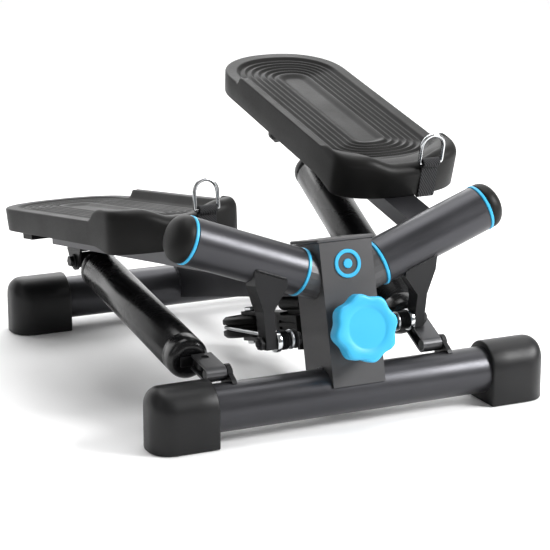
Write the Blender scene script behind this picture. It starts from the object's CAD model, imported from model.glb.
"""Twist stepper: two grooved pedals on a V of pivot tubes, hydraulic cylinders, a rope and a knob.

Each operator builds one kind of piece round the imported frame. Lengths in the constants are
millimetres in the machine's own axes; MACHINE turns them into metres in the frame.
"""

import math

import bmesh
import bpy
from mathutils import Matrix, Vector


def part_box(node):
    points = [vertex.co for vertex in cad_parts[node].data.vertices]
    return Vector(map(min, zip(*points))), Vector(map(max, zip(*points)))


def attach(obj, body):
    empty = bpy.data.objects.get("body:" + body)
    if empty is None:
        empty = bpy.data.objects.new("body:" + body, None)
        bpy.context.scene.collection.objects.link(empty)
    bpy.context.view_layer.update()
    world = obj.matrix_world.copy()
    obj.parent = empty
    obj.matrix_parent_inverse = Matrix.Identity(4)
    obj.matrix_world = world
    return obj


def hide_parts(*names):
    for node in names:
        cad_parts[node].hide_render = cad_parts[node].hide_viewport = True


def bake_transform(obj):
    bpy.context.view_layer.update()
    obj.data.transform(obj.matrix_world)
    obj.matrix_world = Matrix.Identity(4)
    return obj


bl_info = {
    "name": "Twist stepper",
    "version": (1, 0, 0),
    "blender": (4, 5, 0),
    "location": "3D View > Sidebar > Stepper",
    "description": "Builds the looks of a twist stepper round its packed frame",
    "category": "Object",
}

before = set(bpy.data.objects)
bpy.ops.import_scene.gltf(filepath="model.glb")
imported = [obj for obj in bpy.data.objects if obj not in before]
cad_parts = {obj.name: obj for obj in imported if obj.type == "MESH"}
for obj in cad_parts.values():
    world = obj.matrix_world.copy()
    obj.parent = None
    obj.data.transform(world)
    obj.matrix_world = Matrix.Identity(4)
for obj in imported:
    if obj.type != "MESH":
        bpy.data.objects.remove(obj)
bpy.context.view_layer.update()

# ------------------------------------------------------------------ sizes shared with the frame
SIDES = {"left": -1, "right": 1}
MM = 0.001
CREASE = math.radians(35)  # an edge that bends further than this stays crisp
CREASE_NAME = "Smooth by crease"
GRAIN_DEPTH = 0.0002
PIVOT_CENTRE = Vector((0, 30.8, 141.2))
LEAN = math.radians(14.5)
TILT = math.radians(20.65)
REST_SWING = math.radians(11.24)
TUBE_RADIUS = 25
TUBE_HEIGHT = 34.5
BASE_DEPTH = 456
FOOT_INNER = 158
FOOT_LENGTH = 69
FOOT_HALF = 28.5
FOOT_TOP = 66
COLUMN_FRONT = -29.4
COLUMN_BACK = 35.6
COLUMN_TOP = 43.6
COLUMN_HALF = 30
BADGE_HEIGHT = 20
BEAM_HALF = 15.6
ROD_LINE = -47
KNOB_BACK = -43.4
KNOB_THICK = 17.5
KNOB_PHASE = math.radians(9)
KNOB_RADIUS = 36
KNOB_VALLEY = 3.4
SCREW_RADIUS = 5
SCREW_PITCH = 2.0
PULLEY_DISTANCE = 237.6
ROPE_TURN = 31.0
ROPE_AT = Vector((69, 16.8, 92.1))
LEVER_INNER = 88
LEVER_OUTER = 100
PIVOT_INNER = 50.6
PIVOT_OUTER = 178.8
PEDAL_FRONT = Vector((129.3, 122.1, 221.4))
PEDAL_YAW = math.radians(-1.5)
PEDAL_PITCH = math.radians(2.3)
PEDAL_HALF = 77.5
FIELD_HALF = 64.5
DECK_UNDER = -11.0
STRAP_OFFSET = 27
STRAP_Y = -7
WEB_TOP = 6
EYE = Vector((-5.5, 255.7, -65.1))
EYE_BORE = 6.3  # clears the bolt by more than its 2 mm drift in mid-stroke
BOLT_RADIUS = 4
KNUCKLE_X = {"left": 146.5, "right": 103}
LUG_OFFSET = {"left": 11, "right": -10}
KNUCKLE = (15, 66)
YAW_PIN = 26
CYLINDER_START = 39
CYLINDER_END = 336
CYLINDER_RADIUS = 22.5
SHAFT_RADIUS = 5.5


def front_bar_centre():
    low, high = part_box("front_crossbar")
    return Vector(((low.x + high.x) / 2, (low.y + high.y) / 2, 0))


def shift(x, y, z):
    return Matrix.Translation((x, y, z))


def turn(angle, axis):
    return Matrix.Rotation(angle, 4, axis)


MACHINE = Matrix.Translation(front_bar_centre()) @ Matrix.Scale(MM, 4)
COLUMN = MACHINE @ Matrix.Translation(PIVOT_CENTRE) @ turn(-LEAN, "X")
ROD = COLUMN @ shift(0, 0, ROD_LINE)
PEDAL_PLACE = Matrix.Translation(PEDAL_FRONT) @ turn(PEDAL_YAW, "Z") @ turn(PEDAL_PITCH, "X")


def side_frame(side):
    return MACHINE @ Matrix.Diagonal((SIDES[side], 1, 1, 1))


def swing(side):
    """The swinging assembly's turn at rest, in its own side of the machine."""
    there = Matrix.Translation(PIVOT_CENTRE)
    axis = Vector((math.cos(TILT), 0, math.sin(TILT)))
    return there @ turn(SIDES[side] * REST_SWING, axis) @ there.inverted()


def pivot_frame(side):
    there = Matrix.Translation(PIVOT_CENTRE)
    return side_frame(side) @ swing(side) @ there @ turn(-TILT, "Y")


def swing_frame(side):
    return side_frame(side) @ swing(side)


def pedal_frame(side):
    return swing_frame(side) @ PEDAL_PLACE


def cylinder_aim(side):
    eye = swing(side) @ PEDAL_PLACE @ EYE
    dy = eye.y - KNUCKLE[0]
    dz = eye.z - KNUCKLE[1]
    across = eye.x - KNUCKLE_X[side]
    along = math.hypot(dy, dz) - YAW_PIN
    offset = LUG_OFFSET[side]
    length = math.sqrt(along**2 + across**2 - offset**2)
    yaw = math.atan2(across, along) - math.atan2(offset, length)
    return math.atan2(dz, dy), yaw, length + YAW_PIN


def knuckle_frame(side):
    pitch = cylinder_aim(side)[0]
    return side_frame(side) @ shift(KNUCKLE_X[side], *KNUCKLE) @ turn(pitch, "X")


def cylinder_frame(side):
    """Y runs up the cylinder's own axis from the level of the knuckle pin."""
    yaw = cylinder_aim(side)[1]
    pin = shift(0, YAW_PIN, 0)
    return knuckle_frame(side) @ pin @ turn(-yaw, "Z") @ pin.inverted() @ shift(LUG_OFFSET[side], 0, 0)


# ------------------------------------------------------------------ mesh building
def bridge(bm, rings, wrap=False):
    """Skins neighbouring rings of vertices; a ring of one vertex is a point."""
    pairs = list(zip(rings, rings[1:]))
    if wrap:
        pairs.append((rings[-1], rings[0]))
    for a, b in pairs:
        count = max(len(a), len(b))
        for i in range(count):
            j = (i + 1) % count
            corners = [a[i % len(a)], a[j % len(a)], b[j % len(b)], b[i % len(b)]]
            unique = list(dict.fromkeys(corners))
            if len(unique) > 2:
                bm.faces.new(unique)


def skin(bm, rings):
    """Bridges the rings and closes both ends."""
    bridge(bm, rings)
    bm.faces.new(rings[0])
    bm.faces.new(rings[-1])


def placed(axis, along, a, b):
    if axis == "x":
        return (along, a, b)
    if axis == "y":
        return (b, along, a)
    return (a, b, along)


def revolve(bm, profile, axis="x", segments=56, wobble=None):
    """Turns [radius, distance] pairs about an axis; the profile starts and ends on it or closes."""
    closed = profile[0] == profile[-1]
    rings = []
    for radius, along in profile[:-1] if closed else profile:
        if radius < 1e-6:
            rings.append([bm.verts.new(placed(axis, along, 0, 0))])
            continue
        ring = []
        for i in range(segments):
            angle = 2 * math.pi * i / segments
            r = radius * (wobble(angle) if wobble else 1)
            ring.append(bm.verts.new(placed(axis, along, r * math.cos(angle), r * math.sin(angle))))
        rings.append(ring)
    bridge(bm, rings, closed)


def rounded(radius, low, high, edge, steps=4):
    """A bar's profile with its two rims rounded over."""
    profile = [(0, low)]
    for i in range(steps + 1):
        angle = math.pi / 2 * i / steps
        profile.append((radius - edge + edge * math.sin(angle), low + edge - edge * math.cos(angle)))
    for i in range(steps + 1):
        angle = math.pi / 2 * i / steps
        profile.append((radius - edge + edge * math.cos(angle), high - edge + edge * math.sin(angle)))
    profile.append((0, high))
    return profile


def hexagon(bm, radius, low, high, axis="x", edge=0.8):
    profile = [(0, low), (radius - edge, low), (radius, low + edge)]
    profile += [(radius, high - edge), (radius - edge, high), (0, high)]
    revolve(bm, profile, axis, 6)


def block(bm, x, y, z):
    corners = [(x[i], y[j], z[k]) for i in (0, 1) for j in (0, 1) for k in (0, 1)]
    v = [bm.verts.new(c) for c in corners]
    for face in ((0, 1, 3, 2), (4, 6, 7, 5), (0, 4, 5, 1), (2, 3, 7, 6), (0, 2, 6, 4), (1, 5, 7, 3)):
        bm.faces.new([v[i] for i in face])


def tangents(points, closed):
    last = len(points) - 1
    result = []
    for i in range(len(points)):
        before = points[i - 1] if closed or i else points[0]
        after = points[(i + 1) % len(points)] if closed or i < last else points[last]
        result.append((after - before).normalized())
    return result


def frames_along(points, closed=False):
    """A pair of cross directions at each point, carried along without twist."""
    directions = tangents(points, closed)
    helper = Vector((0, 0, 1)) if abs(directions[0].z) < 0.9 else Vector((1, 0, 0))
    across = directions[0].cross(helper).normalized()
    frames = []
    for direction in directions:
        across = (across - direction * across.dot(direction)).normalized()
        frames.append((across, direction.cross(across)))
    return frames


def circle(bm, point, a, b, radius, sides):
    """A ring of vertices round a point, in the plane of two directions."""
    ring = []
    for i in range(sides):
        angle = 2 * math.pi * i / sides
        ring.append(bm.verts.new(point + a * radius * math.cos(angle) + b * radius * math.sin(angle)))
    return ring


def tube(bm, points, radius, sides, closed=False):
    across = frames_along(points, closed)
    rings = [circle(bm, point, a, b, radius, sides) for point, (a, b) in zip(points, across)]
    if closed:
        bridge(bm, rings, True)
    else:
        skin(bm, rings)


def wire_rope(bm, points, radius, strands, turns):
    """Strands wound round a path."""
    frames = frames_along(points)
    lay = radius * 0.56
    for k in range(strands):
        path = []
        for i, (point, (a, b)) in enumerate(zip(points, frames)):
            angle = 2 * math.pi * (k / strands + turns * i / (len(points) - 1))
            path.append(point + a * lay * math.cos(angle) + b * lay * math.sin(angle))
        tube(bm, path, radius - lay + 0.12, 6)


def ribbon(bm, path, half_width, thickness):
    """A flat band: its path lies in the YZ plane and it is as wide as X allows."""
    points = [Vector((0, y, z)) for y, z in path]
    rings = []
    for point, direction in zip(points, tangents(points, False)):
        out = Vector((0, -direction.z, direction.y)) * thickness / 2
        ring = []
        for x, s in ((-1, -1), (-0.97, -1), (0.97, -1), (1, -1), (1, 1), (0.97, 1), (-0.97, 1), (-1, 1)):
            scale = 0.55 if abs(x) == 1 else 1.0
            ring.append(bm.verts.new(point + Vector((x * half_width, 0, 0)) + out * s * scale))
        rings.append(ring)
    skin(bm, rings)


def smooth(value):
    t = min(max(value, 0), 1)
    return t * t * (3 - 2 * t)


def power(value, exponent):
    return math.copysign(abs(value) ** exponent, value)


def linked(name, data):
    made = bpy.data.objects.new(name, data)
    bpy.context.scene.collection.objects.link(made)
    return made


def mesh_object(name, bm, look):
    """Ends a bmesh as an object with one material."""
    mesh = bpy.data.meshes.new(name)
    bm.to_mesh(mesh)
    bm.free()
    mesh.materials.append(look)
    return linked(name, mesh)


def round_edges(made, bevel):
    edge = made.modifiers.new("Rounded edges", "BEVEL")
    edge.width = bevel * MM
    edge.segments = 2
    edge.limit_method = "ANGLE"
    edge.angle_limit = CREASE
    edge.harden_normals = True


def piece(name, bm, at, body, slot, replaced=(), bevel=0.0, angle=40):
    """Turns a finished bmesh into an object that rides on its body."""
    bm.transform(at)
    bmesh.ops.recalc_face_normals(bm, faces=bm.faces)
    made = mesh_object(name, bm, material(slot))
    made.data.polygons.foreach_set("use_smooth", [True] * len(made.data.polygons))
    made.data.set_sharp_from_angle(angle=math.radians(angle))
    if bevel:
        round_edges(made, bevel)
    if body:
        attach(made, body)
    if replaced:
        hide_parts(*replaced)
    return made


def crease_group():
    """Geometry nodes that shade faces smooth and keep every edge over CREASE crisp."""
    if CREASE_NAME in bpy.data.node_groups:
        return bpy.data.node_groups[CREASE_NAME]
    tree = bpy.data.node_groups.new(CREASE_NAME, "GeometryNodeTree")
    tree.interface.new_socket("Geometry", in_out="INPUT", socket_type="NodeSocketGeometry")
    tree.interface.new_socket("Geometry", in_out="OUTPUT", socket_type="NodeSocketGeometry")
    link = tree.links.new
    given = tree.nodes.new("NodeGroupInput")
    out = tree.nodes.new("NodeGroupOutput")
    faces = tree.nodes.new("GeometryNodeSetShadeSmooth")
    faces.domain = "FACE"
    faces.inputs["Shade Smooth"].default_value = True
    bend = tree.nodes.new("GeometryNodeInputMeshEdgeAngle")
    over = tree.nodes.new("FunctionNodeCompare")
    over.data_type = "FLOAT"
    over.operation = "GREATER_THAN"
    over.inputs["B"].default_value = CREASE
    edges = tree.nodes.new("GeometryNodeSetShadeSmooth")
    edges.domain = "EDGE"
    edges.inputs["Shade Smooth"].default_value = False
    link(given.outputs[0], faces.inputs["Geometry"])
    link(faces.outputs[0], edges.inputs["Geometry"])
    link(bend.outputs["Unsigned Angle"], over.inputs["A"])
    link(over.outputs["Result"], edges.inputs["Selection"])
    link(edges.outputs[0], out.inputs[0])
    return tree


def dress(node, slot_name, bevel):
    """Gives a frame node its finish by its slots; its edges are rounded by modifiers only."""
    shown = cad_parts[node]
    for slot in shown.material_slots:
        slot.material = material(slot_name)
    flat = shown.modifiers.new("Flat faces", "DECIMATE")
    flat.decimate_type = "DISSOLVE"
    flat.angle_limit = math.radians(1)
    shade = shown.modifiers.new("Smooth faces", "NODES")
    shade.node_group = crease_group()
    round_edges(shown, bevel)


# ------------------------------------------------------------------ material effects
def group(name, inputs, outputs):
    tree = bpy.data.node_groups.new(name, "ShaderNodeTree")
    for label, value in inputs:
        socket = tree.interface.new_socket(label, in_out="INPUT", socket_type="NodeSocketFloat")
        socket.default_value = value
    for label in outputs:
        tree.interface.new_socket(label, in_out="OUTPUT", socket_type="NodeSocketFloat")
    return tree, tree.nodes.new("NodeGroupInput"), tree.nodes.new("NodeGroupOutput")


def math_node(tree, operation, a, b=None):
    node = tree.nodes.new("ShaderNodeMath")
    node.operation = operation
    for socket, value in zip(node.inputs, (a, b)):
        if isinstance(value, bpy.types.NodeSocket):
            tree.links.new(value, socket)
        elif value is not None:
            socket.default_value = value
    return node.outputs[0]


def grain_group():
    """Fine grain for a bump, and a slow cloudy mask for colour and roughness."""
    inputs = (("Grain scale", 900), ("Cloud scale", 14))
    tree, given, out = group("Grain and cloud", inputs, ("Grain", "Cloud"))
    link = tree.links.new
    place = tree.nodes.new("ShaderNodeTexCoord")
    for label, source, detail in (("Grain", "Grain scale", 3), ("Cloud", "Cloud scale", 5)):
        noise = tree.nodes.new("ShaderNodeTexNoise")
        noise.inputs["Detail"].default_value = detail
        link(place.outputs["Object"], noise.inputs["Vector"])
        link(given.outputs[source], noise.inputs["Scale"])
        link(noise.outputs["Fac"], out.inputs[label])


def twill_group():
    """Diagonal ribs of a woven band, with the threads showing along each rib."""
    tree, given, out = group("Twill", (("Rib scale", 210), ("Thread scale", 900)), ("Height", "Shade"))
    link = tree.links.new
    place = tree.nodes.new("ShaderNodeTexCoord")
    rib = tree.nodes.new("ShaderNodeTexWave")
    rib.wave_type = "BANDS"
    rib.bands_direction = "DIAGONAL"
    rib.inputs["Distortion"].default_value = 0.4
    thread = tree.nodes.new("ShaderNodeTexNoise")
    link(place.outputs["Object"], rib.inputs["Vector"])
    link(place.outputs["Object"], thread.inputs["Vector"])
    link(given.outputs["Rib scale"], rib.inputs["Scale"])
    link(given.outputs["Thread scale"], thread.inputs["Scale"])
    fine = math_node(tree, "MULTIPLY", thread.outputs["Fac"], 0.35)
    link(math_node(tree, "ADD", rib.outputs["Fac"], fine), out.inputs["Height"])
    link(rib.outputs["Fac"], out.inputs["Shade"])


def scuff_group():
    """Thin scattered scuff lines that catch the light."""
    tree, given, out = group("Scuffs", (("Scale", 40), ("Amount", 0.4)), ("Mask",))
    link = tree.links.new
    place = tree.nodes.new("ShaderNodeTexCoord")
    stretch = tree.nodes.new("ShaderNodeMapping")
    stretch.inputs["Scale"].default_value = (1.0, 9.0, 3.0)
    noise = tree.nodes.new("ShaderNodeTexNoise")
    noise.inputs["Detail"].default_value = 8
    noise.inputs["Roughness"].default_value = 0.7
    link(place.outputs["Object"], stretch.inputs["Vector"])
    link(stretch.outputs["Vector"], noise.inputs["Vector"])
    link(given.outputs["Scale"], noise.inputs["Scale"])
    ridge = math_node(tree, "ABSOLUTE", math_node(tree, "SUBTRACT", noise.outputs["Fac"], 0.5))
    thin = math_node(tree, "SUBTRACT", 1.0, math_node(tree, "MULTIPLY", ridge, 40.0))
    above = math_node(tree, "MAXIMUM", thin, 0.0)
    link(math_node(tree, "MULTIPLY", above, given.outputs["Amount"]), out.inputs["Mask"])


def mix_colour(tree, mask, low, high):
    mix = tree.nodes.new("ShaderNodeMix")
    mix.data_type = "RGBA"
    tree.links.new(mask, mix.inputs["Factor"])
    mix.inputs["A"].default_value = (*low, 1)
    mix.inputs["B"].default_value = (*high, 1)
    return mix.outputs["Result"]


def surface(name):
    """A new material, its tree and its shader."""
    made = bpy.data.materials.new(name)
    made.use_nodes = True
    return made, made.node_tree, made.node_tree.nodes["Principled BSDF"]


def use_group(tree, name):
    node = tree.nodes.new("ShaderNodeGroup")
    node.node_tree = bpy.data.node_groups[name]
    return node


def relief(tree, shader, height, strength, depth):
    bump = tree.nodes.new("ShaderNodeBump")
    bump.inputs["Strength"].default_value = strength
    bump.inputs["Distance"].default_value = depth
    tree.links.new(height, bump.inputs["Height"])
    tree.links.new(bump.outputs["Normal"], shader.inputs["Normal"])


def finish(name, colour, roughness, metallic, grain, bump, gloss=0.4, spread=0.12, scuffs=0.3):
    """A painted, moulded or plated finish: cloudy tone, scuffs in the gloss and a fine grain."""
    made, tree, shader = surface(name)
    link = tree.links.new
    shader.inputs["Metallic"].default_value = metallic
    shader.inputs["Specular IOR Level"].default_value = gloss
    detail = use_group(tree, "Grain and cloud")
    detail.inputs["Grain scale"].default_value = grain
    scuff = use_group(tree, "Scuffs")
    scuff.inputs["Amount"].default_value = scuffs
    low = [c * (1 - spread) for c in colour]
    high = [min(c * (1 + spread), 1) for c in colour]
    link(mix_colour(tree, detail.outputs["Cloud"], low, high), shader.inputs["Base Color"])
    cloudy = tree.nodes.new("ShaderNodeMapRange")
    cloudy.inputs["From Min"].default_value = 0.3
    cloudy.inputs["From Max"].default_value = 0.7
    cloudy.inputs["To Min"].default_value = roughness * 0.88
    cloudy.inputs["To Max"].default_value = roughness * 1.12
    link(detail.outputs["Cloud"], cloudy.inputs["Value"])
    scuffed = math_node(tree, "MULTIPLY", scuff.outputs["Mask"], 0.25)
    link(math_node(tree, "ADD", cloudy.outputs["Result"], scuffed), shader.inputs["Roughness"])
    relief(tree, shader, detail.outputs["Grain"], bump, GRAIN_DEPTH)
    return made


def webbing_finish(colour):
    made, tree, shader = surface("Strap webbing")
    shader.inputs["Roughness"].default_value = 0.85
    weave = use_group(tree, "Twill")
    light = [c * 3 for c in colour]
    tree.links.new(mix_colour(tree, weave.outputs["Shade"], colour, light), shader.inputs["Base Color"])
    relief(tree, shader, weave.outputs["Height"], 0.8, 0.0008)
    return made


MADE = {}


def material(slot):
    """The finish of a slot; all are made the first time a piece asks for one."""
    if not MADE:
        grain_group()
        twill_group()
        scuff_group()
        tones = bpy.context.scene.stepper_colours
        frame_grey = tuple(tones.frame_grey)
        cyan = tuple(tones.cyan)
        moulding = tuple(tones.moulding)
        MADE["frame_paint"] = finish("Frame paint", frame_grey, 0.34, 0.7, 1800, 0.12)
        MADE["column_paint"] = finish("Column paint", tuple(tones.column_grey), 0.4, 0.6, 1800, 0.12)
        MADE["black_steel"] = finish("Black steel", (0.014, 0.014, 0.015), 0.4, 0.5, 1200, 0.1)
        MADE["strap_steel"] = finish("Strap steel", (0.1, 0.1, 0.104), 0.36, 0.8, 1200, 0.12)
        near_black = (0.006, 0.006, 0.0065)
        MADE["cylinder_paint"] = finish("Cylinder gloss", near_black, 0.26, 0.0, 300, 0.03, scuffs=0.08)
        silver = (0.55, 0.56, 0.57)
        MADE["bright_chrome"] = finish("Chrome", silver, 0.16, 1.0, 500, 0.02, spread=0.04, scuffs=0.1)
        MADE["rope_wire"] = finish("Rope wire", (0.36, 0.37, 0.38), 0.32, 1.0, 1500, 0.1)
        MADE["foot_rubber"] = finish("Foot rubber", near_black, 0.4, 0.0, 1500, 0.15, gloss=0.3)
        MADE["black_moulding"] = finish("Black moulding", moulding, 0.46, 0.0, 2200, 0.2, gloss=0.14)
        MADE["cyan_moulding"] = finish("Cyan moulding", cyan, 0.42, 0.0, 1500, 0.05, spread=0.05)
        MADE["bush_nylon"] = finish("Bush nylon", (0.6, 0.57, 0.5), 0.5, 0.0, 900, 0.05)
        MADE["strap_webbing"] = webbing_finish((0.008, 0.008, 0.009))
    return MADE[slot]


# ------------------------------------------------------------------ base frame
def build_base_frame():
    for row, y in (("front", 0), ("rear", BASE_DEPTH)):
        bm = bmesh.new()
        half = FOOT_INNER + 50
        revolve(bm, rounded(TUBE_RADIUS, -half, half, 1.0), "x", 72)
        at = MACHINE @ shift(0, y, TUBE_HEIGHT)
        name = f"{row}_crossbar"
        piece(f"{name}_tube", bm, at, "base", "frame_paint", [name])
    dress("centre_beam", "frame_paint", 2.0)
    dress("front_column", "column_paint", 1.6)
    bm = bmesh.new()
    overhang = 2.5
    half = COLUMN_HALF + overhang
    deep = (COLUMN_FRONT - 1, COLUMN_BACK + overhang)
    block(bm, (-half, half), deep, (COLUMN_TOP + 0.3, COLUMN_TOP + 4.3))
    piece("column_cap_plate", bm, COLUMN, "base", "column_paint", ["column_cap"], 1.4)
    build_badge()
    build_base_welds()


def build_badge():
    """A plain ring with a dot, let into the column's face."""
    face = COLUMN_FRONT - 0.2
    at = COLUMN @ shift(0, 0, BADGE_HEIGHT)
    bm = bmesh.new()
    lip = 0.5
    ring = [(15, face), (15, face - 0.7), (15 - lip, face - 1.2), (11 + lip, face - 1.2)]
    ring += [(11, face - 0.7), (11, face), (15, face)]
    revolve(bm, ring, "y", 72)
    revolve(bm, [(0, face), (5, face), (5, face - 0.7), (5 - lip, face - 1.2), (0, face - 1.3)], "y", 40)
    piece("badge_ring", bm, at, "base", "cyan_moulding", ["column_badge"])


def weld(bm, points, radius):
    """A bead laid in overlapping ripples."""
    path = []
    for a, b in zip(points, points[1:]):
        steps = max(int((b - a).length / 1.2), 1)
        path += [a.lerp(b, i / steps) for i in range(steps)]
    path.append(points[-1])
    rings = []
    for n, (point, (a, b)) in enumerate(zip(path, frames_along(path))):
        r = radius * (0.86 + 0.14 * math.sin(n * 1.7)) * (0.35 if n in (0, len(path) - 1) else 1)
        rings.append(circle(bm, point, a, b, r, 8))
    skin(bm, rings)


def build_base_welds():
    """Beads where the column and the beam sit on the crossbars."""
    bm = bmesh.new()
    edge = TUBE_RADIUS + 0.4
    for x in (-COLUMN_HALF - 0.6, COLUMN_HALF + 0.6):
        around = [math.radians(a) for a in range(28, 96, 4)]
        weld(bm, [Vector((x, edge * math.cos(a), TUBE_HEIGHT + edge * math.sin(a))) for a in around], 1.7)
    for x in (-BEAM_HALF, BEAM_HALF):
        around = [math.radians(a) for a in range(100, 172, 4)]
        arc = [(BASE_DEPTH + edge * math.cos(a), TUBE_HEIGHT + edge * math.sin(a)) for a in around]
        weld(bm, [Vector((x, y, z)) for y, z in arc], 1.6)
    piece("base_welds", bm, MACHINE, "base", "frame_paint", angle=80)


def foot_section(x):
    """Half width and top of a foot at a distance from its inner end."""
    corner = 24
    edge = 16
    half = FOOT_HALF
    if x > FOOT_LENGTH - corner:
        half = FOOT_HALF - corner + math.sqrt(max(corner**2 - (x - FOOT_LENGTH + corner) ** 2, 0))
    top = FOOT_TOP
    if x > FOOT_LENGTH - edge:
        top = FOOT_TOP - edge + math.sqrt(max(edge**2 - (x - FOOT_LENGTH + edge) ** 2, 0))
    return half, top


def build_feet():
    steps = 22
    for row, y in (("front", 0), ("rear", BASE_DEPTH)):
        for side in SIDES:
            bm = bmesh.new()
            places = [0.0, 0.7, 2.0, 20.0, 40.0]
            places += [45 + 24 * math.sin(math.pi / 2 * i / 14) for i in range(15)]
            rings = []
            for n, x in enumerate(places):
                half, top = foot_section(x)
                lip = 1.2 if n == 0 else 0.4 if n == 1 else 0
                half -= lip
                top -= lip
                spring = max(top - max(half, 14), 8)
                ring = [bm.verts.new((x, -half + 1.2, 0)), bm.verts.new((x, -half, 1.2))]
                for i in range(steps + 1):
                    angle = math.pi * (1 - i / steps)
                    rise = (top - spring) * math.sin(angle)
                    ring.append(bm.verts.new((x, half * math.cos(angle), spring + rise)))
                ring += [bm.verts.new((x, half, 1.2)), bm.verts.new((x, half - 1.2, 0))]
                rings.append(ring)
            skin(bm, rings)
            name = f"{row}_{side}_foot"
            at = side_frame(side) @ shift(FOOT_INNER, y, 0)
            piece(f"{name}_cap", bm, at, "base", "foot_rubber", [name], angle=50)


# ------------------------------------------------------------------ pivots
def build_pivots():
    for side in SIDES:
        at = pivot_frame(side)
        body = f"{side}_pedal_swing"
        bm = bmesh.new()
        bore = TUBE_RADIUS - 3
        low = PIVOT_INNER
        high = PIVOT_OUTER
        wall = [(bore, low), (TUBE_RADIUS - 0.8, low), (TUBE_RADIUS, low + 0.8)]
        wall += [(TUBE_RADIUS, high - 0.8), (TUBE_RADIUS - 0.8, high), (bore, high), (bore, low)]
        revolve(bm, wall, "x", 72)
        piece(f"{side}_tube", bm, at, body, "frame_paint", [f"{side}_pivot_tube"])
        for end, start in (("inner", low - 3.7), ("outer", high + 0.3)):
            bm = bmesh.new()
            rim = TUBE_RADIUS + 0.5
            ring = [(bore, start), (rim - 0.6, start), (rim, start + 0.6), (rim, start + 2.8)]
            ring += [(rim - 0.6, start + 3.4), (bore, start + 3.4), (bore, start)]
            revolve(bm, ring, "x", 72)
            name = f"{side}_{end}_ring"
            piece(f"{name}_trim", bm, at, body, "cyan_moulding", [name])
        bm = bmesh.new()
        base = high + 4.0
        dome = [(0, base), (TUBE_RADIUS - 0.4, base)]
        dome += [(TUBE_RADIUS, base + 0.5), (TUBE_RADIUS, base + 3.5)]
        for i in range(1, 13):
            angle = math.pi / 2 * i / 12
            dome.append((TUBE_RADIUS * math.cos(angle) ** 0.85, base + 3.5 + 15.5 * math.sin(angle)))
        dome[-1] = (0, dome[-1][1])
        revolve(bm, dome, "x", 72)
        piece(f"{side}_dome", bm, at, body, "black_moulding", [f"{side}_pivot_cap"])
        dress(f"{side}_stub_axle", "column_paint", 0.4)
        dress(f"{side}_bush", "bush_nylon", 0.4)


def build_levers():
    for side in SIDES:
        body = f"{side}_pedal_swing"
        dress(f"{side}_lever", "black_steel", 0.7)
        at = swing_frame(side) @ shift(0, ROPE_AT.y, ROPE_AT.z)
        inner = LEVER_INNER - 0.3
        bm = bmesh.new()
        revolve(bm, rounded(11.5, inner - 5.5, inner, 1.2), "x", 64)
        name = f"{side}_rope_bolt"
        piece(f"{side}_rope_disc", bm, at, body, "bright_chrome", [name])
        bm = bmesh.new()
        ribs = [(0, 74.3)]
        for i in range(29):
            along = 74.3 + i * 0.27
            ribs.append((9.2 + 0.8 * math.cos(2 * math.pi * i / 7), along))
        ribs.append((0, 74.3 + 28 * 0.27))
        revolve(bm, ribs, "x", 48)
        groove = [(0, 62.3), (9.4, 62.3), (10, 62.9), (10, 63.8), (7, 65.4), (7, 72.6), (10, 74.2), (0, 74.2)]
        revolve(bm, groove, "x", 48)
        hexagon(bm, 7.4, 57.6, 62.2)
        hexagon(bm, 7.4, LEVER_OUTER + 0.4, LEVER_OUTER + 5.2)
        revolve(bm, rounded(BOLT_RADIUS, LEVER_OUTER + 5, LEVER_OUTER + 7, 0.6), "x", 24)
        piece(f"{side}_rope_roller", bm, at, body, "black_steel")
        bm = bmesh.new()
        loop = []
        for i in range(40):
            angle = 2 * math.pi * i / 40
            loop.append(Vector((ROPE_AT.x, 8.6 * math.cos(angle), 8.6 * math.sin(angle))))
        tube(bm, loop, 1.9, 8, closed=True)
        piece(f"{side}_rope_eye", bm, at, body, "rope_wire", angle=80)
        build_lever_weld(side)


def build_lever_weld(side):
    """Bead along the foot of the pivot tube where the lever's plate meets it."""
    bm = bmesh.new()
    out = -22.0
    points = []
    for i in range(12):
        x = 71 + 35 * i / 11
        centre = PIVOT_CENTRE.z + x * math.tan(TILT)
        drop = math.sqrt(TUBE_RADIUS**2 - out**2) / math.cos(TILT)
        points.append(Vector((x, PIVOT_CENTRE.y + out, centre - drop)))
    weld(bm, points, 1.6)
    body = f"{side}_pedal_swing"
    piece(f"{side}_lever_weld", bm, swing_frame(side), body, "black_steel", angle=80)


# ------------------------------------------------------------------ pedals
ARC = 44
STRAIGHT = 46


def loop_points(half, rear_y, rear, front_y, front, bend):
    """The pedal's plan outline: two rounded ends and two straight sides, always in the same order."""
    points = []
    for i in range(ARC):
        angle = math.pi * i / (ARC - 1)
        x = half * power(math.cos(angle), 2 / 2.2)
        points.append(Vector((x, rear_y + rear * math.sin(angle) ** (2 / 2.2))))
    for i in range(1, STRAIGHT):
        points.append(Vector((-half, rear_y + (front_y - rear_y) * i / STRAIGHT)))
    for i in range(ARC):
        angle = math.pi + math.pi * i / (ARC - 1)
        x = half * power(math.cos(angle), 2 / bend)
        points.append(Vector((x, front_y - front * abs(math.sin(angle)) ** (2 / bend))))
    for i in range(1, STRAIGHT):
        points.append(Vector((half, front_y + (rear_y - front_y) * i / STRAIGHT)))
    return points


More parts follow.
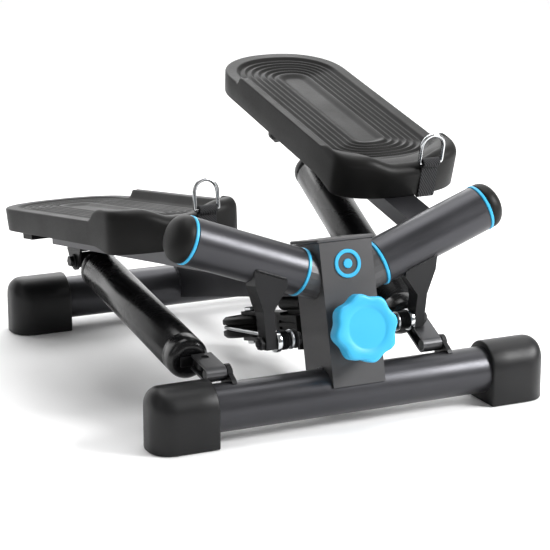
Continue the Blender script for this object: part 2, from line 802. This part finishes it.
def deck_relief(point, inward, sizes):
    """Height over the flat deck: side rail, front bumper, ribbed field and the long dish."""
    x, y = point
    rail = smooth((-63.5 - x) / 5) * smooth((264 - y) / 4) * smooth((y + 4) / 20) * sizes.rail_height
    share = abs(x) / PEDAL_HALF
    start = 24 + 38 * share**2.4
    into = min(max((start - y) / 32, 0), 1)
    crest = 3 + (sizes.bumper_height - 3) * smooth((share - 0.15) / 0.5)
    bumper = crest * math.sqrt(1 - (1 - into) ** 2)
    height = max(rail, bumper)
    if inward <= 0:
        return height
    field = smooth(inward / 2.5)
    pitch = 43.0 / sizes.groove_count
    phase = (inward - 1.5) / pitch
    if 0 < phase < sizes.groove_count:
        height -= sizes.groove_depth * (0.5 - 0.5 * math.cos(2 * math.pi * phase)) ** 0.8
    dish = smooth((inward - 45) / 9)
    return height - 1.2 * field - 3.0 * dish


def build_pedal(side, sizes):
    bm = bmesh.new()
    rim = loop_points(PEDAL_HALF, 282, 66, 28, 36, 2.4)
    field = loop_points(FIELD_HALF, 282, 53, 66, 36, 2.3)
    spine = [Vector((0, min(max(p.y, 92), 262))) for p in field]
    rings = []

    def ring(points, heights):
        rings.append([bm.verts.new((p.x, p.y, h)) for p, h in zip(points, heights)])

    edge_height = [deck_relief(p, 0, sizes) for p in rim]
    outward = [(a - b).normalized() for a, b in zip(rim, field)]
    low = [-26 - 7 * smooth((60 - p.y) / 45) for p in rim]
    ring([p - o * 6 for p, o in zip(rim, outward)], [DECK_UNDER] * len(rim))
    ring([p - o * 5.5 for p, o in zip(rim, outward)], [z + 0.6 for z in low])
    ring([p - o * 4.8 for p, o in zip(rim, outward)], low)
    ring([p - o * 2.2 for p, o in zip(rim, outward)], low)
    ring([p - o * 1.6 for p, o in zip(rim, outward)], [z + 0.8 for z in low])
    ring([p - o * 0.4 for p, o in zip(rim, outward)], [-9.0] * len(rim))
    folds = [2.2 + 9.0 * smooth((60 - p.y) / 34) for p in rim]
    for i in range(8):
        angle = math.pi / 2 * i / 7
        points = [p - o * f * (1 - math.cos(angle)) for p, o, f in zip(rim, outward, folds)]
        ring(points, [h - f * (1 - math.sin(angle)) for h, f in zip(edge_height, folds)])
    for i in range(1, 15):
        t = i / 14
        points = [(a - o * f).lerp(b, t) for a, b, o, f in zip(rim, field, outward, folds)]
        ring(points, [deck_relief(p, 0, sizes) for p in points])
    count = 84
    for i in range(1, count + 1):
        points = [a.lerp(b, i / count) for a, b in zip(field, spine)]
        ring(points, [deck_relief(p, FIELD_HALF * i / count, sizes) for p in points])
    bridge(bm, rings)
    under = [bm.verts.new((p.x, p.y, DECK_UNDER)) for p in spine]
    bridge(bm, [under, rings[0]])
    bmesh.ops.remove_doubles(bm, verts=bm.verts, dist=0.01)
    bmesh.ops.dissolve_degenerate(bm, edges=bm.edges, dist=0.001)
    name = f"{side}_pedal"
    body = f"{side}_pedal_swing"
    at = pedal_frame(side)
    piece(f"{name}_deck", bm, at, body, "black_moulding", [name], angle=60)
    bm = bmesh.new()
    for x in (-24, 10):
        block(bm, (x, x + 4), (6, 314), (-33.2, -10))
    block(bm, (40, 62), (262, 288), (-36, -10))
    for y in range(40, 320, 38):
        block(bm, (-70, -24.2), (y, y + 2.4), (-21, -10))
        block(bm, (14.2, 70), (y, y + 2.4), (-21, -10))
    piece(f"{name}_ribs", bm, at, body, "black_moulding", bevel=0.5)


def build_hitch(side):
    """Clevis bolt, and the screws that hold the pedal down on its arm."""
    body = f"{side}_pedal_swing"
    dress(f"{side}_pedal_arm", "frame_paint", 1.8)
    dress(f"{side}_clevis", "black_steel", 0.8)
    at = pedal_frame(side) @ Matrix.Translation(EYE)
    bm = bmesh.new()
    face = 19.8
    revolve(bm, rounded(BOLT_RADIUS, -face - 7, face + 4, 0.5), "x", 32)
    hexagon(bm, 7.2, -face - 5.5, -face)
    revolve(bm, rounded(8, face, face + 2, 0.5), "x", 40)
    hexagon(bm, 6.6, face + 2, face + 6.5)
    name = f"{side}_clevis_bolt"
    piece(f"{name}_set", bm, at, body, "black_steel", [name])
    bm = bmesh.new()
    for y in (60, 175):
        first = len(bm.verts)
        hexagon(bm, 5.5, -53.5, -50.2, "z")
        bm.verts.ensure_lookup_table()
        for v in bm.verts[first:]:
            v.co.x -= 5
            v.co.y += y
    piece(f"{side}_deck_screws", bm, pedal_frame(side), body, "black_steel")


def build_d_ring(side):
    at = pedal_frame(side) @ shift(SIDES[side] * STRAP_OFFSET, STRAP_Y, WEB_TOP)
    half = 13.7
    top = 32 - half
    corner = 2.6
    path = []
    for i in range(9):
        angle = -math.pi / 2 * (1 - i / 8)
        x = half - corner + corner * math.cos(angle)
        path.append(Vector((x, 0, corner + corner * math.sin(angle))))
    for i in range(25):
        angle = math.pi * i / 24
        path.append(Vector((half * math.cos(angle), 0, top + half * math.sin(angle))))
    for i in range(9):
        angle = math.pi + math.pi / 2 * i / 8
        x = corner - half + corner * math.cos(angle)
        path.append(Vector((x, 0, corner + corner * math.sin(angle))))
    path += [Vector((x, 0, 0)) for x in (-8, -4, 0, 4, 8)]
    bm = bmesh.new()
    tube(bm, path, 2.2, 14, closed=True)
    name = f"{side}_d_ring"
    piece(f"{name}_wire", bm, at, f"{side}_ring", "bright_chrome", [name], angle=80)
    build_webbing(side, at)


def build_webbing(side, at):
    """A doubled band: up the bumper, round the ring's straight side and back in behind."""
    low = -41
    path = [(9, low + 1.6), (4, low + 0.4), (1.6, low), (0.4, low + 2), (0, low + 6)]
    path += [(0, z) for z in range(-32, -4, 3)]
    path += [(-1.2, -4.6)]
    for i in range(13):
        angle = math.pi * (1.17 - 1.34 * i / 12)
        path.append((4.1 * math.cos(angle), 4.1 * math.sin(angle)))
    path += [(3.2, -4.6), (2.6, -8)]
    bm = bmesh.new()
    ribbon(bm, path, 10.4, 2.0)
    name = f"{side}_webbing_loop"
    body = f"{side}_pedal_swing"
    piece(f"{name}_band", bm, at, body, "strap_webbing", [name], angle=50)


# ------------------------------------------------------------------ cylinders
def build_cylinder(side):
    at = cylinder_frame(side)
    body = f"{side}_cylinder_body"
    low = CYLINDER_START
    high = CYLINDER_END
    r = CYLINDER_RADIUS
    profile = [(0, low), (r - 9, low)]
    for i in range(1, 9):
        angle = math.pi / 2 * i / 8
        profile.append((r - 9 + 9 * math.sin(angle), low + 9 - 9 * math.cos(angle)))
    profile += [(r, low + 22), (r - 0.5, low + 22.6), (r - 0.5, low + 23.6), (r, low + 24.2)]
    profile += [(r, high - 24), (r - 0.5, high - 23.4), (r - 0.5, high - 22.4)]
    profile += [(r, high - 21.8), (r, high - 16)]
    for i in range(1, 10):
        angle = math.pi / 2 * i / 12
        profile.append((r * math.cos(angle), high - 16 + 14 * math.sin(angle)))
    profile += [(8.8, high - 2.2), (8.4, high), (6.2, high), (5.9, high - 8), (0, high - 8)]
    bm = bmesh.new()
    revolve(bm, profile, "y", 72)
    name = f"{side}_cylinder"
    piece(f"{name}_barrel", bm, at, body, "cylinder_paint", [name])
    bm = bmesh.new()
    offset = -LUG_OFFSET[side]
    outline = []
    for i in range(13):
        angle = math.pi + math.pi * i / 12
        outline.append((offset + 8 * math.cos(angle), YAW_PIN + 8 * math.sin(angle)))
    outline += [(offset + 8, low - 3), (max(offset, 0) + 11, low - 3), (max(offset, 0) + 11, low + 2)]
    outline += [(min(offset, 0) - 11, low + 2), (min(offset, 0) - 11, low - 3), (offset - 8, low - 3)]
    skin(bm, [[bm.verts.new((x, y, z)) for x, y in outline] for z in (-5.3, 5.3)])
    piece(f"{side}_cylinder_lug", bm, at, body, "black_steel", bevel=0.8)
    build_piston_rod(side, at)


def build_piston_rod(side, at):
    reach = cylinder_aim(side)[2]
    body = f"{side}_rod"
    bm = bmesh.new()
    revolve(bm, rounded(SHAFT_RADIUS, CYLINDER_END - 120, reach - 7.6, 0.5), "y", 40)
    name = f"{side}_piston_rod"
    piece(f"{side}_rod_shaft", bm, at, body, "bright_chrome", [name])
    bm = bmesh.new()
    sleeve = [(7.2, -13), (8.4, -13), (9, -12.4), (9, 12.4), (8.4, 13), (7.2, 13), (7.2, -13)]
    revolve(bm, sleeve, "x", 48)
    bush = [(EYE_BORE, -14), (7.1, -14), (7.1, 14), (EYE_BORE, 14), (EYE_BORE, -14)]
    revolve(bm, bush, "x", 40)
    eye = at @ shift(0, reach, 0)
    piece(f"{side}_rod_eye", bm, eye, body, "black_steel")
    bm = bmesh.new()
    weld_ring = [(5.6, -10.8), (7.6, -10.4), (8.2, -8.9), (7.4, -7.6), (5.6, -7.2), (5.6, -10.8)]
    revolve(bm, weld_ring, "y", 40, lambda a: 1 + 0.02 * math.sin(9 * a))
    piece(f"{side}_rod_weld", bm, eye, body, "black_steel", angle=80)


def build_knuckles():
    for side in SIDES:
        dress(f"{side}_knuckle_strap", "strap_steel", 0.7)
        dress(f"{side}_knuckle_bracket", "black_steel", 0.7)
        dress(f"{side}_yaw_pin", "black_steel", 0.5)
        dress(f"{side}_knuckle_pin", "black_steel", 0.6)


# ------------------------------------------------------------------ height adjuster
def build_knob(sizes):
    bm = bmesh.new()
    lobes = sizes.knob_lobes
    steps = lobes * 20
    front = KNOB_BACK - KNOB_THICK
    edge = 3.0
    stations = [(0.62, KNOB_BACK), (0.93, KNOB_BACK), (0.975, KNOB_BACK - 0.8)]
    stations += [(1.0, KNOB_BACK - edge), (1.0, front + edge), (0.985, front + 1.2)]
    stations += [(0.95, front + 0.3), (0.9, front), (0.64, front - 0.1)]
    stations += [(0.61, front + 0.5), (0.55, front + 0.6), (0.3, front + 0.4), (0.05, front + 0.35)]
    rings = []
    for scale, y in stations:
        ring = []
        for i in range(steps):
            angle = 2 * math.pi * i / steps
            valley = 0.5 - 0.5 * math.cos(lobes * (angle - KNOB_PHASE))
            fade = smooth((scale - 0.6) / 0.3)
            r = scale * (KNOB_RADIUS - KNOB_VALLEY * valley * fade)
            ring.append(bm.verts.new((r * math.cos(angle), y, r * math.sin(angle))))
        rings.append(ring)
    skin(bm, rings)
    hub = [(0, KNOB_BACK - 1), (14, KNOB_BACK - 1), (13, COLUMN_FRONT - 1), (12, COLUMN_FRONT - 0.4)]
    hub.append((0, COLUMN_FRONT - 0.4))
    revolve(bm, hub, "y", 48)
    piece("knob_grip", bm, ROD, "knob", "cyan_moulding", ["height_knob"], angle=50)


def build_threaded_rod():
    """A plain shank through the column and a fine thread behind it."""
    bm = bmesh.new()
    y = 40.0
    profile = [(0, KNOB_BACK - 8), (SCREW_RADIUS, KNOB_BACK - 8), (SCREW_RADIUS, y)]
    while y < 147:
        profile += [(SCREW_RADIUS - 0.6, y + SCREW_PITCH / 2), (SCREW_RADIUS, y + SCREW_PITCH)]
        y += SCREW_PITCH
    profile += [(4.2, 149.5), (0, 150)]
    revolve(bm, profile, "y", 28)
    piece("height_screw", bm, ROD, "knob", "bright_chrome", ["threaded_rod"], angle=30)


def build_pulley():
    at = ROD @ shift(0, PULLEY_DISTANCE, 0)
    bm = bmesh.new()
    upper = [(27.8, 0.0), (28.3, 1.6), (29.6, 2.7), (33.4, 3.6), (34, 4.2), (34, 8.6)]
    upper += [(33, 9.8), (30.5, 11.8), (28, 12), (27, 10.6), (14, 10.2), (12, 12), (5.3, 12)]
    lower = [(radius, -along) for radius, along in reversed(upper[1:])]
    profile = lower + upper
    revolve(bm, profile + profile[:1], "z", 72)
    piece("pulley_wheel", bm, at, "pulley", "black_moulding", ["pulley"])
    bm = bmesh.new()
    revolve(bm, rounded(5, -21.5, 17, 0.6), "z", 32)
    hexagon(bm, 8, 17, 21.2, "z")
    hexagon(bm, 7.6, -21.0, -16.9, "z")
    piece("pulley_bolt", bm, at, "carriage", "bright_chrome", ["pulley_pin"])
    dress("pulley_yoke", "black_steel", 1.2)
    dress("carriage_block", "black_moulding", 1.0)


# ------------------------------------------------------------------ rope
def tangent_angle(start):
    across = Vector((start.x, start.y - PULLEY_DISTANCE))
    return math.atan2(across.y, across.x) + math.acos(ROPE_TURN / across.length)


def rope_start(side):
    """The rope's end on its lever, in the column's axes with X outwards."""
    there = swing(side) @ ROPE_AT
    return turn(LEAN, "X") @ (there - PIVOT_CENTRE)


def build_rope(sizes):
    angles = {}
    for side, sign in SIDES.items():
        start = rope_start(side)
        angle = tangent_angle(start)
        angles[side] = angle
        y = PULLEY_DISTANCE + ROPE_TURN * math.sin(angle)
        end = Vector((ROPE_TURN * math.cos(angle), y, ROD_LINE))
        begin = start + (end - start).normalized() * 9.2
        finish_at = end - (end - start).normalized() * 0.4
        steps = 90
        points = [begin.lerp(finish_at, i / steps) for i in range(steps + 1)]
        points = [Vector((p.x * sign, p.y, p.z)) for p in points]
        bm = bmesh.new()
        wire_rope(bm, points, sizes.rope_thickness / 2, 6, 16)
        name = f"{side}_rope_run"
        body = f"{side}_pedal_swing"
        made = piece(f"{name}_wire", bm, COLUMN, None, "rope_wire", [name], angle=80)
        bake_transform(made)
        bm = bmesh.new()
        crimp = [points[0].lerp(points[-1], i / 60) for i in range(2, 8)]
        tube(bm, crimp, 3.4, 20)
        piece(f"{side}_rope_crimp", bm, COLUMN, body, "strap_steel")
    steps = 72
    first = angles["right"]
    last = math.pi - angles["left"]
    points = []
    for i in range(steps + 1):
        angle = first + (last - first) * i / steps
        points.append(Vector((ROPE_TURN * math.cos(angle), ROPE_TURN * math.sin(angle), 0)))
    bm = bmesh.new()
    wire_rope(bm, points, sizes.rope_thickness / 2, 6, 6)
    at = ROD @ shift(0, PULLEY_DISTANCE, 0)
    piece("pulley_rope_wire", bm, at, "carriage", "rope_wire", ["pulley_rope"], angle=80)


# ------------------------------------------------------------------ stage
YAW = 0.429
PITCH = 0.2651
EYE_POINT = Vector((-896.5, -1773.0, 696.3))
SENSOR = 36
FOCAL = 2000 / 550 * SENSOR


def build_camera():
    camera = linked("Camera", bpy.data.cameras.new("Camera"))
    camera.data.lens = FOCAL
    camera.data.sensor_width = SENSOR
    camera.data.clip_end = 50
    camera.location = MACHINE @ EYE_POINT
    camera.rotation_euler = (math.pi / 2 - PITCH, 0, -YAW)
    bpy.context.scene.camera = camera


def build_light(name, place, aim, size, power_watts):
    lamp = bpy.data.lights.new(name, "AREA")
    lamp.shape = "RECTANGLE"
    lamp.size, lamp.size_y = size
    lamp.energy = power_watts
    made = linked(name, lamp)
    made.location = place
    made.rotation_euler = (Vector(aim) - Vector(place)).to_track_quat("-Z", "Y").to_euler()


def build_sheet(name, corners, inputs):
    """One flat studio sheet with a plain finish."""
    bm = bmesh.new()
    bm.faces.new([bm.verts.new(c) for c in corners])
    made, _, shader = surface(name)
    for label, value in inputs.items():
        shader.inputs[label].default_value = value
    mesh_object(name, bm, made)


def build_stage(colours):
    """Floor, a bright sheet well behind the machine, world and lights."""
    z = -0.0005
    corners = [(-12, -12, z), (12, -12, z), (12, 12, z), (-12, 12, z)]
    build_sheet("Floor", corners, {"Base Color": (*colours.floor, 1), "Roughness": 0.8})
    white = (1, 1, 1, 1)
    corners = [(-9, 5, -0.2), (9, 5, -0.2), (9, 5, 6), (-9, 5, 6)]
    glow = {"Base Color": white, "Emission Color": white, "Emission Strength": 1.0}
    build_sheet("Backdrop", corners, glow)
    world = bpy.data.worlds.new("Studio")
    bpy.context.scene.world = world
    world.use_nodes = True
    sky_light = world.node_tree.nodes["Background"].inputs
    sky_light["Color"].default_value = white
    sky_light["Strength"].default_value = 0.24
    build_light("Key", (1.5, -1.2, 1.2), (0, 0, 0.1), (0.9, 0.7), 62)
    build_light("Fill", (-1.8, -0.9, 1.2), (0, 0, 0.15), (0.5, 1.2), 3)
    build_light("Back", (0.3, 1.8, 1.3), (0, 0, 0.15), (1.6, 0.7), 16)
    build_light("Top", (0.0, 0.1, 2.2), (0, 0, 0), (1.4, 1.4), 10)
    sky = bpy.data.lights.new("Sky", "SUN")
    sky.angle = math.radians(50)
    sky.energy = 1.5
    above = linked("Sky", sky)
    above.rotation_euler = (math.radians(-16), math.radians(14), 0)
    bpy.context.scene.view_settings.view_transform = "Standard"


# ------------------------------------------------------------------ what a user can change
class StepperSizes(bpy.types.PropertyGroup):
    groove_count: bpy.props.IntProperty(
        name="Grooves", description="Grooves round each pedal's dish", default=6, min=2, max=12
    )
    groove_depth: bpy.props.FloatProperty(
        name="Groove depth",
        description="Depth of the pedal grooves in millimetres",
        default=2.2, min=0.2, max=4,
    )
    rail_height: bpy.props.FloatProperty(
        name="Rail height",
        description="Height of the pedal's inner rail in millimetres",
        default=9.5, min=0, max=11,
    )
    bumper_height: bpy.props.FloatProperty(
        name="Bumper height",
        description="Height of the front bumper's corners in millimetres",
        default=13.5, min=3,
    )
    knob_lobes: bpy.props.IntProperty(
        name="Knob lobes", description="Lobes round the height knob", default=8, min=5, max=12
    )
    rope_thickness: bpy.props.FloatProperty(
        name="Rope thickness",
        description="Diameter of the wire rope in millimetres",
        default=3.8, min=3, max=5.4,
    )


def colour_property(name, description, default):
    return bpy.props.FloatVectorProperty(
        name=name, description=description, subtype="COLOR", size=3, default=default
    )


class StepperColours(bpy.types.PropertyGroup):
    frame_grey: colour_property("Frame", "Paint on the tubes", (0.052, 0.052, 0.057))
    column_grey: colour_property("Column", "Paint on the column", (0.085, 0.084, 0.086))
    moulding: colour_property("Mouldings", "Pedals and caps", (0.0078, 0.0077, 0.0074))
    cyan: colour_property("Accent", "Knob, rings and badge", (0.035, 0.4, 0.68))
    floor: colour_property("Floor", "Studio floor", (0.95, 0.95, 0.95))


class STEPPER_OT_stage(bpy.types.Operator):
    """Camera, pale floor and soft lights"""

    bl_idname = "stepper.stage"
    bl_label = "Stage"

    def execute(self, context):
        build_camera()
        build_stage(context.scene.stepper_colours)
        return {"FINISHED"}


class STEPPER_OT_base(bpy.types.Operator):
    """Crossbars, beam, column, cap, badge and welds"""

    bl_idname = "stepper.base"
    bl_label = "Base frame"

    def execute(self, context):
        build_base_frame()
        return {"FINISHED"}


class STEPPER_OT_feet(bpy.types.Operator):
    """The four rubber feet"""

    bl_idname = "stepper.feet"
    bl_label = "Feet"

    def execute(self, context):
        build_feet()
        return {"FINISHED"}


class STEPPER_OT_pivots(bpy.types.Operator):
    """Pivot tubes with their axles, bushes, trim rings and domes"""

    bl_idname = "stepper.pivots"
    bl_label = "Pivots"

    def execute(self, context):
        build_pivots()
        return {"FINISHED"}


class STEPPER_OT_levers(bpy.types.Operator):
    """Levers and the bolts that hold the rope"""

    bl_idname = "stepper.levers"
    bl_label = "Levers"

    def execute(self, context):
        build_levers()
        return {"FINISHED"}


class STEPPER_OT_pedals(bpy.types.Operator):
    """Grooved pedals, their arms and clevises"""

    bl_idname = "stepper.pedals"
    bl_label = "Pedals"

    def execute(self, context):
        for side in SIDES:
            build_pedal(side, context.scene.stepper_sizes)
            build_hitch(side)
        return {"FINISHED"}


class STEPPER_OT_d_rings(bpy.types.Operator):
    """D-rings on their webbing loops"""

    bl_idname = "stepper.d_rings"
    bl_label = "D-rings"

    def execute(self, context):
        for side in SIDES:
            build_d_ring(side)
        return {"FINISHED"}


class STEPPER_OT_cylinders(bpy.types.Operator):
    """Hydraulic cylinders, piston rods and knuckles"""

    bl_idname = "stepper.cylinders"
    bl_label = "Cylinders"

    def execute(self, context):
        for side in SIDES:
            build_cylinder(side)
        build_knuckles()
        return {"FINISHED"}


class STEPPER_OT_adjuster(bpy.types.Operator):
    """Height knob, screw, carriage and pulley"""

    bl_idname = "stepper.adjuster"
    bl_label = "Height adjuster"

    def execute(self, context):
        build_knob(context.scene.stepper_sizes)
        build_threaded_rod()
        build_pulley()
        return {"FINISHED"}


class STEPPER_OT_rope(bpy.types.Operator):
    """The twisted wire rope between the levers"""

    bl_idname = "stepper.rope"
    bl_label = "Rope"

    def execute(self, context):
        build_rope(context.scene.stepper_sizes)
        return {"FINISHED"}


STEPS = (
    STEPPER_OT_stage,
    STEPPER_OT_base,
    STEPPER_OT_feet,
    STEPPER_OT_pivots,
    STEPPER_OT_levers,
    STEPPER_OT_pedals,
    STEPPER_OT_d_rings,
    STEPPER_OT_cylinders,
    STEPPER_OT_adjuster,
    STEPPER_OT_rope,
)


class STEPPER_PT_panel(bpy.types.Panel):
    """Sizes, colours and one button for each kind of piece"""

    bl_idname = "STEPPER_PT_panel"
    bl_label = "Twist stepper"
    bl_space_type = "VIEW_3D"
    bl_region_type = "UI"
    bl_category = "Stepper"

    def draw(self, context):
        for group_name in ("stepper_sizes", "stepper_colours"):
            values = getattr(context.scene, group_name)
            for key in values.__annotations__:
                self.layout.prop(values, key)
        for step in STEPS:
            self.layout.operator(step.bl_idname)


CLASSES = (StepperSizes, StepperColours, *STEPS, STEPPER_PT_panel)


def register():
    for kind in CLASSES:
        bpy.utils.register_class(kind)
    bpy.types.Scene.stepper_sizes = bpy.props.PointerProperty(type=StepperSizes)
    bpy.types.Scene.stepper_colours = bpy.props.PointerProperty(type=StepperColours)


def unregister():
    del bpy.types.Scene.stepper_colours
    del bpy.types.Scene.stepper_sizes
    for kind in reversed(CLASSES):
        bpy.utils.unregister_class(kind)


def main():
    register()
    bpy.ops.stepper.stage()
    bpy.ops.stepper.base()
    bpy.ops.stepper.feet()
    bpy.ops.stepper.pivots()
    bpy.ops.stepper.levers()
    bpy.ops.stepper.pedals()
    bpy.ops.stepper.d_rings()
    bpy.ops.stepper.cylinders()
    bpy.ops.stepper.adjuster()
    bpy.ops.stepper.rope()


if __name__ == "__main__":
    main()
